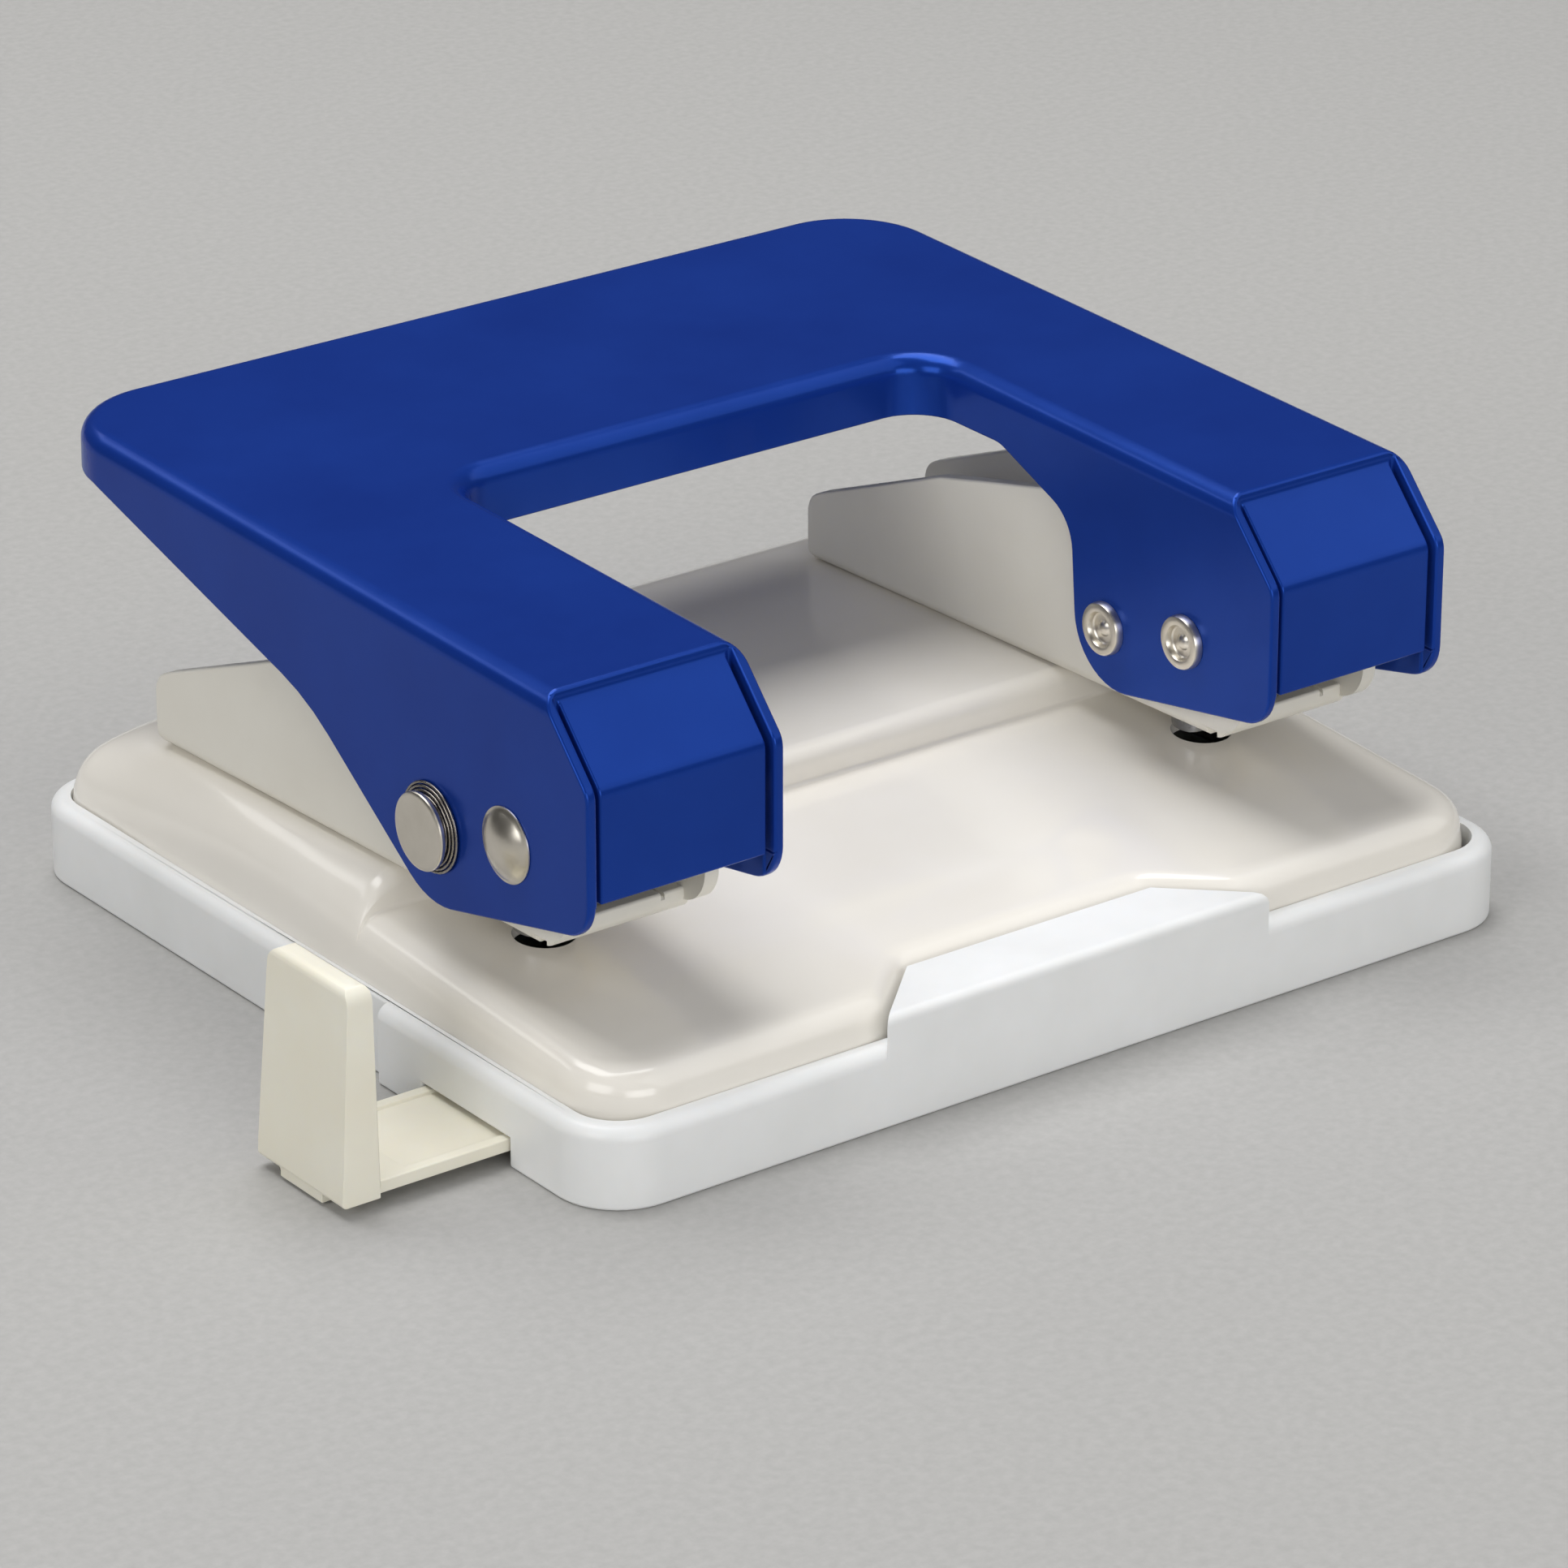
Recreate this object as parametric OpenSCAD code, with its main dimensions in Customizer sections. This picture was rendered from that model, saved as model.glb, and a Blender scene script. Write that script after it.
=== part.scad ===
// Two-hole paper punch with a U-shaped press lever. All sizes in millimetres.
// Origin on the table under the middle of the tray. Front is -Y, left is -X, up is +Z.

/* [Punching] */
// Distance between the two hole centres
hole_pitch = 80; // [76:0.5:90]
// Diameter of a punched hole
hole_d = 6; // [5:0.1:6.5]
// Paper stop to hole centre
hole_depth = 12; // [11.2:0.1:13]
// Angle the lever is pressed through, in degrees
press_angle = 17.5; // [10:0.5:17.5]
// Height of the punch tips over the die when at rest
tip_gap = 0.8; // [0.6:0.1:1.8]

/* [Tray] */
// Depth of the tray, front to rear
tray_d = 98.9; // [96:0.5:112]
// Margin from the lever's side to the tray's side
side_margin = 4.4; // [3.5:0.1:8]
// Height of the tray rim
tray_h = 8.2; // [7.6:0.1:9]
// Wall of the tray
tray_wall = 2; // [1.6:0.1:2.4]
// Floor of the tray
tray_floor = 1.5; // [1.2:0.1:1.5]
// Plan radius of the tray's corners
tray_r = 6.8; // [5:0.1:10]
// Width of the lift tab at the front
tab_w = 46; // [30:0.5:56]
// Depth of the lift tab
tab_d = 7.8; // [6:0.1:9]
// Top of the lift tab
tab_h = 11.4; // [10.8:0.1:11.8]

/* [Base plate] */
// Sheet of the base plate
base_t = 1.2; // [0.9:0.1:1.4]
// Tray front to paper stop
stop_back = 42.6; // [41:0.1:46]
// Height of the seat of the brackets at the stop
seat_h = 17.6; // [17:0.1:18.6]
// Height of the paper stop
stop_step = 3.6; // [3:0.1:4.2]
// Fall of the seat toward the rear, in degrees
seat_fall = 1.9; // [1.2:0.1:2.2]
// Rise of the paper table toward the stop, in degrees
table_rise = 3; // [2:0.1:3.2]
// Round of the long edges beside the seat
seat_round = 7; // [5:0.1:8]

/* [Brackets] */
// Width of a bracket
bracket_w = 17; // [16:0.1:18]
// Sheet of a bracket
bracket_t = 1.6; // [1.3:0.1:1.8]
// Outer radius of a bracket's long bends
bracket_bend = 1.6; // [1.2:0.1:2.2]
// Paper stop to the rear end of a bracket
bracket_back = 42.1; // [38:0.1:44]
// Height of the front lip
lip_h = 2.5; // [2.3:0.1:3.2]
// End of the lip to the bracket's side
lip_side = 1; // [0.8:0.1:2]
// Gap between the lip and the side walls
relief = 0.6; // [0.4:0.1:1]
// Shank of the bracket rivets
rivet_d = 3; // [2.6:0.1:3.4]
// Head of the bracket rivets
rivet_head = 6; // [5.4:0.1:6.6]

/* [Lever] */
// Width of a lever arm
arm_w = 22; // [21:0.1:24]
// Sheet of the lever
lever_t = 1.1; // [0.9:0.1:1.2]
// Pivot to the front panel
lever_front = 12.72; // [12:0.1:14]
// Pivot to the rear edge
lever_back = 79.55; // [74:0.1:84]
// Pivot to the rear edge of the finger window
window_back = 41.6; // [38:0.1:46]
// Pivot to the top of the lever
lever_rise = 16.95; // [16.6:0.05:18]
// Tilt of the lever at rest, in degrees
lever_tilt = 1.07; // [0.6:0.01:1.6]
// Outer radius of the folds
fold_r = 2; // [1.4:0.1:2.4]

/* [Pins] */
// Height of the pivot over the seat at the stop
pivot_rise = 11.44; // [11.2:0.02:12]
// Pivot ahead of the hole centre
pivot_ahead = 10.08; // [9.6:0.02:10.6]
// Pivot to drive pin
crank_r = 12.32; // [11.8:0.02:12.6]
// Drive pin below the pivot at rest, in degrees
crank_drop = 12.1; // [10:0.1:14]
// Shank of the pivot rivets
pivot_d = 5; // [4.4:0.1:5.2]
// Shank of the drive pins
drive_d = 3.6; // [3.2:0.1:3.8]
// Dome head of the rivets
head_d = 7.4; // [6.6:0.1:8]
// Upset inner end of the rivets
ring_d = 5.5; // [5.3:0.1:6]

/* [Punches] */
// Body of a punch
punch_d = 8; // [7.6:0.1:8.4]
// Wall of the guide bush
bush_wall = 1; // [0.8:0.1:1.2]

/* [Lock button] */
// Head of the lock button
button_d = 7.3; // [6.8:0.1:8]
// Thickness of the head
button_t = 0.6; // [0.5:0.1:0.9]
// Gap between head and lever at rest
button_gap = 1; // [0.9:0.05:1.4]

/* [Gauge] */
// Width of the gauge arm
gauge_w = 13.8; // [11:0.1:16]
// Thickness of the gauge arm
gauge_t = 1.3; // [1.1:0.1:1.4]
// Length of the gauge arm
gauge_len = 105; // [90:0.5:108]
// Hole pair's middle to the fence at rest
gauge_set = 69.5; // [66:0.5:74]
// Height of the fence
fence_h = 22.2; // [18:0.1:26]
// Round of the fence's upper corners
fence_r = 1.8; // [1:0.1:2.4]
// Tray front to the middle of the gauge arm
gauge_back = 21.7; // [20:0.1:25]

/* [Springs] */
// Wire of the return springs
return_wire = 1; // [0.9:0.05:1.05]
// Wire of the lock spring
lock_wire = 0.26; // [0.22:0.01:0.28]

/* [Fits] */
// Radial clearance of a turning pin
run_fit = 0.05; // [0.03:0.01:0.08]
// Clearance of a sliding piece
slide_fit = 0.2; // [0.15:0.01:0.25]
// Clearance of a fixed shank in its hole
seat_fit = 0.02; // [0.01:0.01:0.04]

/* [Hidden] */
$fn = 48;
tray_w = hole_pitch + arm_w + 2 * side_margin;
arm_x = hole_pitch / 2;
y_front = -tray_d / 2;
y_stop = y_front + stop_back;
y_punch = y_stop - hole_depth;
y_pivot = y_punch - pivot_ahead;
z_pivot = seat_h + pivot_rise;
y_drive = y_pivot + crank_r * cos(crank_drop);
z_drive = z_pivot - crank_r * sin(crank_drop);
table_stop = seat_h - stop_step;
function seat_z(y) = seat_h - tan(seat_fall) * (y - y_stop);
function table_z(y) = table_stop + tan(table_rise) * (y - y_stop);
tip_z = table_z(y_punch) + tip_gap;
base_w = tray_w - 2 * (tray_wall + slide_fit);
base_d = tray_d - 2 * (tray_wall + slide_fit);
base_r = max(tray_r - tray_wall - slide_fit, 2);
ledge_w = 1.4;
chan_z = tray_floor + gauge_t + 0.1;
roof_z = chan_z + 1.2;
ledge_z = roof_z + 0.5;
arm_z = chan_z - gauge_t - 0.15;
y_gauge = y_front + gauge_back;
chan_w = gauge_w + 2 * slide_fit;
x_fence = -gauge_set;
chan_end = tray_w / 2 - tray_wall * 2.25;
inner_half = bracket_w / 2 - bracket_t;
arm_half = arm_w / 2;
bush_top = seat_z(y_punch) + bracket_t + 0.9;
body_foot = seat_z(y_punch) + 0.6;
x_plate = arm_x + arm_half;
spring_r = pivot_d / 2 + return_wire / 2 + 0.9;
spring_x = inner_half - return_wire / 2 - 1.1;

// Outline helpers: a list of [a, b, radius] becomes a polygon with round corners
function unit(v) = v / norm(v);
function wrap(a) = a > 180 ? a - 360 : (a < -180 ? a + 360 : a);
function flat2(p) = [p[0], p[1]];
function arc_pts(c, r, a0, sweep, n) =
  [for (i = [0:n]) c + r * [cos(a0 + sweep * i / n), sin(a0 + sweep * i / n)]];
function corner_at(p, u, v, half, r) =
  let (c = p + unit(u + v) * r / sin(half),
       s = p + u * r / tan(half) - c,
       e = p + v * r / tan(half) - c,
       a0 = atan2(s[1], s[0]),
       sweep = wrap(atan2(e[1], e[0]) - a0))
  arc_pts(c, r, a0, sweep, max(3, ceil(abs(sweep) / 9)));
function corner(a, p, b, r) = r <= 0 ? [p] :
  let (u = unit(a - p), v = unit(b - p))
  corner_at(p, u, v, acos(u * v) / 2, r);
function outline(q) = let (n = len(q)) [for (i = [0:n - 1])
  each corner(flat2(q[(i + n - 1) % n]), flat2(q[i]), flat2(q[(i + 1) % n]), q[i][2])];

module along_x(x0, x1) {
  translate([x0, 0, 0]) rotate([90, 0, 90]) linear_extrude(height = x1 - x0) children();
}
module along_y(y0, y1) {
  translate([0, y1, 0]) rotate([90, 0, 0]) linear_extrude(height = y1 - y0) children();
}
// Cylinder along +X from x0 to x1
module pin_x(r, x0, x1) {
  translate([x0, 0, 0]) rotate([0, 90, 0]) cylinder(r = r, h = x1 - x0);
}
module round_rect(w, d, r) {
  square([w - 2 * r, d], center = true);
  square([w, d - 2 * r], center = true);
  for (sx = [-1, 1])
    for (sy = [-1, 1])
      translate([sx * (w / 2 - r), sy * (d / 2 - r)]) circle(r = r);
}
module at_pivot() {
  translate([0, y_pivot, z_pivot]) children();
}
module at_drive() {
  translate([0, y_drive, z_drive]) children();
}

// Tray
module tab_plan(g) {
  k = (tab_w - tab_back) / 2 / tab_d;
  s = g * sqrt(1 + k * k);
  polygon([[-tab_w / 2 - s - k * 4, y_front - 4], [tab_w / 2 + s + k * 4, y_front - 4],
    [tab_w / 2 + s - k * (tab_d + g), y_front + tab_d + g],
    [-tab_w / 2 - s + k * (tab_d + g), y_front + tab_d + g]]);
}
tab_back = tab_w - 16.6;

module tray_rim_profile() {
  difference() {
    square([tray_wall, tray_h]);
    difference() {
      translate([-1, tray_h - 1.4]) square([2.4, 2.4]);
      translate([1.4, tray_h - 1.4]) circle(r = 1.4);
    }
  }
}
module tray_rim() {
  for (sx = [-1, 1])
    for (sy = [-1, 1])
      translate([sx * (tray_w / 2 - tray_r), sy * (tray_d / 2 - tray_r), 0])
        rotate([0, 0, sx > 0 ? (sy > 0 ? 0 : -90) : (sy > 0 ? 90 : 180)])
          rotate_extrude(angle = 90)
            translate([tray_r, 0]) mirror([1, 0]) tray_rim_profile();
  for (s = [0, 180])
    rotate([0, 0, s]) {
      translate([-tray_w / 2, 0, 0])
        along_y(-tray_d / 2 + tray_r, tray_d / 2 - tray_r) tray_rim_profile();
      translate([0, -tray_d / 2, 0])
        along_x(-tray_w / 2 + tray_r, tray_w / 2 - tray_r) tray_rim_profile();
    }
}
module tray_tab() {
  inset = 1.8;
  difference() {
    intersection() {
      translate([0, 0, ledge_z]) linear_extrude(height = tab_h - ledge_z) tab_plan(0);
      translate([-tab_w / 2, y_front, 0]) cube([tab_w, tab_d + 1, 30]);
    }
    translate([0, inset, 0]) intersection() {
      linear_extrude(height = tab_h - inset) tab_plan(-inset);
      translate([-tab_w / 2 + inset, y_front, 0]) cube([tab_w - 2 * inset, tab_d - 2 * inset, 30]);
    }
  }
}
module chip_tray() {
  color([0.86, 0.9, 0.94]) difference() {
    union() {
      tray_rim();
      linear_extrude(height = tray_floor)
        round_rect(tray_w - 2, tray_d - 2, tray_r - 1);
      difference() {
        linear_extrude(height = ledge_z)
          round_rect(tray_w - 2, tray_d - 2, tray_r - 1);
        translate([0, 0, -1]) linear_extrude(height = 20)
          round_rect(base_w - 2 * ledge_w, base_d - 2 * ledge_w, base_r);
      }
      translate([-tray_w / 2 + 1, y_gauge - chan_w / 2 - 1.2, 0])
        cube([tray_w / 2 + chan_end + 0.2, chan_w + 2.4, roof_z]);
      tray_tab();
    }
    translate([-tray_w / 2 - 1, y_gauge - chan_w / 2, -1])
      cube([tray_wall + 1.5, chan_w, chan_z + 1]);
    translate([-tray_w / 2, y_gauge - chan_w / 2, arm_z - 0.2])
      cube([tray_w / 2 + chan_end - 1, chan_w, chan_z - arm_z + 0.2]);
    translate([-tray_w / 2, y_gauge - chan_w / 2 + 1.5, -1])
      cube([tray_w / 2 + chan_end - 1, chan_w - 3, chan_z]);
    translate([-tray_w / 2 - 1, y_stop - 6.4, -1])
      cube([2.2, 15.6, tray_h + 2]);
  }
}

// Gauge
fence_taper = 0.6;
module fence() {
  half = gauge_w / 2 + 0.2;
  low = arm_z - 0.4;
  intersection() {
    along_y(y_gauge - half - 1, y_gauge + half + 1)
      polygon(outline([[x_fence, low, 0], [x_fence, fence_h, 0.8],
        [x_fence - 2.6, fence_h, 1], [x_fence - 4.1, low, 0.5]]));
    along_x(x_fence - 5, x_fence + 1)
      polygon(outline([[y_gauge - half, low - 1, 0], [y_gauge + half, low - 1, 0],
        [y_gauge + half - fence_taper, fence_h, fence_r],
        [y_gauge - half + fence_taper, fence_h, fence_r]]));
  }
}
module paper_gauge() {
  color([0.93, 0.91, 0.82]) difference() {
    union() {
      translate([x_fence - 0.5, y_gauge - gauge_w / 2, arm_z])
        cube([gauge_len, gauge_w, gauge_t]);
      fence();
      translate([x_fence - 4, y_gauge - gauge_w / 4, 0.3]) cube([4, gauge_w / 2, arm_z]);
    }
    translate([x_fence + 3.5, y_gauge - gauge_w / 2 + 1.2, arm_z + gauge_t - 0.35])
      cube([gauge_len, gauge_w - 2.4, 1]);
  }
}

// Base plate, a pressed shell
function base_low(i) = ledge_z - (i > 0 ? 3 : 0);
// Paper table, from the front skirt to a little behind the stop
function table_side(i) = outline([
  [-base_d / 2 + i - 0.05, base_low(i), 0],
  [-base_d / 2 + i - 0.05, table_z(-base_d / 2) - i / cos(table_rise), 2.6 - i],
  [y_stop + 6, table_z(y_stop + 6) - i / cos(table_rise), 0],
  [y_stop + 6, base_low(i), 0]]);
// Seat of the brackets, from the stop to the rear skirt
function seat_side(i) = outline([
  [y_stop + i, base_low(i), 0],
  [y_stop + i, seat_z(y_stop) - i / cos(seat_fall), 2.6 - i],
  [base_d / 2 - i + 0.05, seat_z(base_d / 2) - i / cos(seat_fall), 8.5 - i],
  [base_d / 2 - i + 0.05, base_low(i), 0]]);
// Round edges along both sides; the plan below makes the walls
function base_edge(i, r) = let (x = base_w / 2 - i + 0.05) outline([
  [-x, -40, 0], [x, -40, 0], [x, -i, r - i], [-x, -i, r - i]]);
module base_plan(i) {
  x = base_w / 2 - i;
  y = base_d / 2 - i;
  r = base_r - i * 0.5;
  linear_extrude(height = 40) polygon(outline([[-x, -y, r], [x, -y, r], [x, y, r], [-x, y, r]]));
}
module base_form(i) {
  intersection() {
    base_plan(i);
    union() {
      intersection() {
        along_x(-tray_w, tray_w) polygon(table_side(i));
        translate([0, y_stop, table_stop]) rotate([table_rise, 0, 0])
          along_y(-90, 90) polygon(base_edge(i, 3));
      }
      intersection() {
        along_x(-tray_w, tray_w) polygon(seat_side(i));
        translate([0, y_stop, seat_h]) rotate([-seat_fall, 0, 0])
          along_y(-90, 90) polygon(base_edge(i, seat_round));
      }
    }
  }
}
module base_plate() {
  color([0.9, 0.86, 0.74]) difference() {
    base_form(0);
    difference() {
      base_form(base_t);
      translate([0, 0, -1]) linear_extrude(height = 40) tab_plan(0.4 + base_t);
    }
    translate([0, 0, -1]) linear_extrude(height = 40) tab_plan(0.4);
    for (s = [-1, 1]) {
      translate([s * arm_x, y_punch, 5]) cylinder(r = hole_d / 2 + 0.1, h = 15);
      rivet_spots(s) translate([0, 0, -8]) cylinder(r = rivet_d / 2 + run_fit, h = 16);
    }
  }
}

// Brackets
module on_seat(y) {
  translate([0, y, seat_z(y)]) rotate([-seat_fall, 0, 0]) children();
}
module rivet_spots(s) {
  for (k = [0.235, 0.78])
    translate([s * arm_x, 0, 0]) on_seat(y_stop + bracket_back * k) children();
}
y_bfront = y_pivot - 2.76;
y_wall = y_bfront + bracket_t + relief;
y_brear = y_stop + bracket_back;
module bracket_outline() {
  polygon(outline([[y_wall, seat_z(y_wall), 0.8], [y_wall, seat_z(y_bfront) + lip_h + relief, 1.2],
    [y_pivot - 6, z_pivot - 3.6, 1.5], [y_pivot - 6, z_pivot + 10.67, 5],
    [y_stop + bracket_back / 4, z_pivot + lever_rise * 0.566, bracket_back * 3.56],
    [y_brear, z_pivot - 5.74, 2.5], [y_brear, seat_z(y_brear), 1.2]]));
}
// Floor ahead of the walls and the lip bent up from it, seen from the side
module lip_outline() {
  skin = 0.02;
  y0 = y_bfront - y_stop;
  y1 = y_wall - y_stop + 1;
  polygon(outline([[y0, skin, lip_h * 0.7], [y0, lip_h, 0.3], [y0 + bracket_t, lip_h, 0.3],
    [y0 + bracket_t, bracket_t - skin, 0.2], [y1, bracket_t - skin, 0], [y1, skin, 0]]));
}
module channel(w, r) {
  translate([-w / 2 + r, 0]) square([w - 2 * r, 40]);
  translate([-w / 2, r]) square([w, 40]);
  for (s = [-1, 1])
    translate([s * (w / 2 - r), r]) circle(r = r);
}
module drive_slot(w) {
  a0 = -crank_drop + 0.4;
  sweep = press_angle + 0.8;
  at_pivot() rotate([a0 - sweep, 0, 0]) rotate([90, 0, 90])
    rotate_extrude(angle = sweep, $fn = 96)
      translate([crank_r - drive_d / 2 - 0.3, -w]) square([drive_d + 0.6, 2 * w]);
  for (a = [a0, a0 - sweep])
    at_pivot() rotate([a, 0, 0]) translate([0, crank_r, 0]) pin_x(drive_d / 2 + 0.3, -w, w);
}
module bracket(s) {
  lip_half = bracket_w / 2 - lip_side;
  translate([s * arm_x, 0, 0]) difference() {
    union() {
      difference() {
        intersection() {
          along_x(-bracket_w, bracket_w) bracket_outline();
          on_seat(y_stop) along_y(-base_d, base_d) channel(bracket_w, bracket_bend);
        }
        on_seat(y_stop) translate([0, 0, bracket_t]) along_y(-base_d, base_d)
          channel(2 * inner_half, max(bracket_bend - bracket_t, 0.3));
      }
      on_seat(y_stop) {
        along_x(-inner_half + 0.2, inner_half - 0.2) lip_outline();
        along_x(-lip_half, lip_half) intersection() {
          lip_outline();
          translate([y_bfront - y_stop - 1, -1]) square([bracket_t + 1, lip_h + 2]);
        }
      }
    }
    at_pivot() pin_x(pivot_d / 2 + run_fit, -bracket_w, bracket_w);
    drive_slot(bracket_w);
    translate([0, y_punch, seat_z(y_punch) - 2 * bracket_t])
      cylinder(r = punch_d / 2 + run_fit + bush_wall + seat_fit, h = 5 * bracket_t);
    translate([-s * arm_x, 0, 0]) rivet_spots(s)
      translate([0, 0, -2 * bracket_t]) cylinder(r = rivet_d / 2 + run_fit, h = 5 * bracket_t);
  }
}
module bracket_left() {
  color([0.8, 0.77, 0.68]) bracket(-1);
}
module bracket_right() {
  color([0.8, 0.77, 0.68]) bracket(1);
}

// Rivets through bracket and base, domed above and upset below
module bracket_rivets(s) {
  rivet_spots(s) {
    translate([0, 0, -base_t - 0.9]) cylinder(r = rivet_d / 2, h = base_t + bracket_t + 1.2);
    translate([0, 0, bracket_t]) dome(rivet_head, rivet_head / 5);
    translate([0, 0, -base_t - seat_fit - 1]) cylinder(r = rivet_head * 0.465, h = 1);
  }
}
module bracket_rivets_left() {
  color([0.75, 0.75, 0.76]) bracket_rivets(-1);
}
module bracket_rivets_right() {
  color([0.75, 0.75, 0.76]) bracket_rivets(1);
}
// Spherical cap standing on z = 0
module dome(d, h) {
  r = (d * d / 4 + h * h) / 2 / h;
  rotate_extrude() intersection() {
    translate([0, h - r]) circle(r = r, $fn = 96);
    square([d, h]);
  }
}

// Guide bush, its flange rests on the bracket's floor
module guide_bush(s) {
  bore = punch_d / 2 + run_fit;
  flange_z = seat_z(y_punch) + bracket_t;
  translate([s * arm_x, y_punch, 0]) difference() {
    union() {
      translate([0, 0, flange_z - bracket_t - 0.5])
        cylinder(r = bore + bush_wall, h = bracket_t + 1);
      intersection() {
        translate([0, 0, flange_z - 1]) cylinder(r = bore + bush_wall + 1.1, h = bush_top - flange_z + 1);
        translate([0, -y_punch, 0]) on_seat(y_punch)
          translate([-20, -20, bracket_t]) cube([40, 40, 20]);
      }
    }
    translate([0, 0, 5]) cylinder(r = bore, h = 40);
  }
}
module guide_bush_left() {
  color([0.7, 0.6, 0.35]) guide_bush(-1);
}
module guide_bush_right() {
  color([0.7, 0.6, 0.35]) guide_bush(1);
}

// Punch with a side notch that the drive pin works in
module punch(s) {
  top = z_drive + 6.2;
  pin_near = y_pivot + crank_r * cos(crank_drop + press_angle) - y_punch - drive_d / 2;
  notch_y = min(pin_near - 0.25, -1);
  notch_h = drive_d / 2 + 0.16;
  translate([s * arm_x, y_punch, 0]) difference() {
    union() {
      translate([0, 0, tip_z]) cylinder(r = hole_d / 2, h = body_foot - tip_z + 1);
      translate([0, 0, body_foot + 0.8]) cylinder(r = punch_d / 2, h = top - body_foot - 0.8);
      translate([0, 0, body_foot])
        cylinder(r1 = hole_d / 2, r2 = punch_d / 2, h = 0.8);
    }
    translate([-10, notch_y, z_drive - notch_h]) cube([20, 20, 2 * notch_h]);
    translate([0, 0, tip_z - 5.6]) rotate([90, 0, 0]) cylinder(r = 6.2, h = 20, center = true);
  }
}
module punch_left() {
  color([0.62, 0.63, 0.65]) punch(-1);
}
module punch_right() {
  color([0.62, 0.63, 0.65]) punch(1);
}

// Lever, a folded sheet with two arms, a rear bridge and front panels
drop = 45;
chamfer_a = 47;
chamfer_w = 9.23;
function lever_side(i) = outline([
  [-lever_front + i, -drop, 0],
  [-lever_front + i, chamfer_w - i * tan(45 - (90 - chamfer_a) / 2), 2.4 - i],
  [-lever_front + (lever_rise + 8 - chamfer_w) / tan(chamfer_a) + i / sin(chamfer_a), lever_rise + 8, 0],
  [lever_back + 8, lever_rise + 8, 0],
  [lever_back + 8, -drop, 0]]);
module fold_top(a, b, top, r) {
  translate([a, -drop]) square([b - a, drop + top - r]);
  translate([a + r, top - r - 1]) square([b - a - 2 * r, r + 1]);
  translate([a + r, top - r]) circle(r = r);
  translate([b - r, top - r]) circle(r = r);
}
rear_r = 10;
inner_r = 5;
module lever_form(i) {
  r = fold_r - i;
  top = lever_rise - i;
  yc = lever_back - rear_r;
  xc = x_plate - rear_r;
  for (s = [-1, 1]) {
    translate([s * arm_x, 0, 0]) along_y(-lever_front - 10, yc)
      fold_top(-arm_half + i, arm_half - i, top, r);
    translate([s * xc, yc, 0]) intersection() {
      rotate_extrude() intersection() {
        fold_top(-rear_r + i, rear_r - i, top, r);
        translate([0, -drop]) square([rear_r, 2 * drop]);
      }
      translate([s > 0 ? 0 : -20, 0, -drop]) cube([20, 20, 2 * drop]);
    }
    // Round inner corner of the window
    difference() {
      translate([s > 0 ? arm_x - arm_half - inner_r : -arm_x + arm_half - fold_r - 1,
        window_back - inner_r, -drop])
        cube([inner_r + fold_r + 1, inner_r + fold_r + 1, drop + top]);
      translate([s * (arm_x - arm_half - inner_r), window_back - inner_r, 0])
        window_cut(inner_r + i, top, r);
    }
  }
  along_x(-xc, xc) fold_top(window_back + i, lever_back - i, top, r);
}
module window_cut(c, top, r) {
  rotate_extrude() {
    translate([0, -drop - 1]) square([c, drop + 2 + top]);
    difference() {
      translate([0, top - r]) square([c + r, r + 1]);
      translate([c + r, top - r]) circle(r = r);
    }
  }
}
module lever_solid(i, j) {
  intersection() {
    rotate([lever_tilt, 0, 0]) lever_form(i);
    along_x(-tray_w, tray_w) polygon(lever_side(j));
  }
}
// What is cut away below a plate's lower edge
module below(q) {
  difference() {
    translate([-lever_front - 2, -drop - 1]) square([lever_back + lever_front + 12, drop + 16]);
    polygon(outline(q));
  }
}
toe = [-lever_front, -4.84, 4];
edge_out = [toe, [13.08, -10.94, 8.5], [33.03, 3.06, 25], [70.28, 13.16, 3],
  [lever_back + 20, 13.6, 0], [lever_back + 20, 60, 0], [-lever_front, 60, 0]];
edge_in = [toe, [16.48, -10.14, 7], [17.88, 6.96, 5], [29.28, 11.5, 4],
  [window_back + 12, 11.5, 0], [window_back + 12, 13.6, 0],
  [lever_back + 20, 13.6, 0], [lever_back + 20, 60, 0], [-lever_front, 60, 0]];
panel_half = arm_half - lever_t - 0.6;
panel_sink = 0.4;
module lever_handle() {
  chamfer_end = -lever_front + (lever_rise - chamfer_w) / tan(chamfer_a);
  color([0.1, 0.2, 0.5]) at_pivot() difference() {
    lever_solid(0, 0);
    lever_solid(lever_t, lever_t + panel_sink);
    for (s = [-1, 1]) {
      along_x(s > 0 ? arm_x : -arm_x - 30, s > 0 ? arm_x + 30 : -arm_x) below(edge_out);
      translate([s * arm_x, 0, 0]) {
        // Bottom edge of the front panel
        translate([-panel_half - 0.7, -lever_front - 3, -drop])
          cube([2 * panel_half + 1.4, 3 + lever_t + panel_sink + 0.2, drop - 2.05]);
        // Slits beside the front panel
        for (k = [-1, 1])
          translate([k * (panel_half + 0.3) - 0.3, -lever_front - 3, -drop])
            cube([0.6, chamfer_end + lever_front + 2.6, 2 * drop]);
        // Panel face lies a little behind the plates' edges
        along_x(-panel_half - 0.1, panel_half + 0.1) difference() {
          translate([-lever_front - 2, -drop]) square([chamfer_end + lever_front + 1.6, 2 * drop]);
          polygon(lever_side(panel_sink));
        }
        pin_x(pivot_d / 2 + seat_fit, -30, 30);
        rotate([-crank_drop, 0, 0]) translate([0, crank_r, 0])
          pin_x(drive_d / 2 + run_fit, -30, 30);
      }
    }
    along_x(-arm_x, arm_x) below(edge_in);
  }
}

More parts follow.
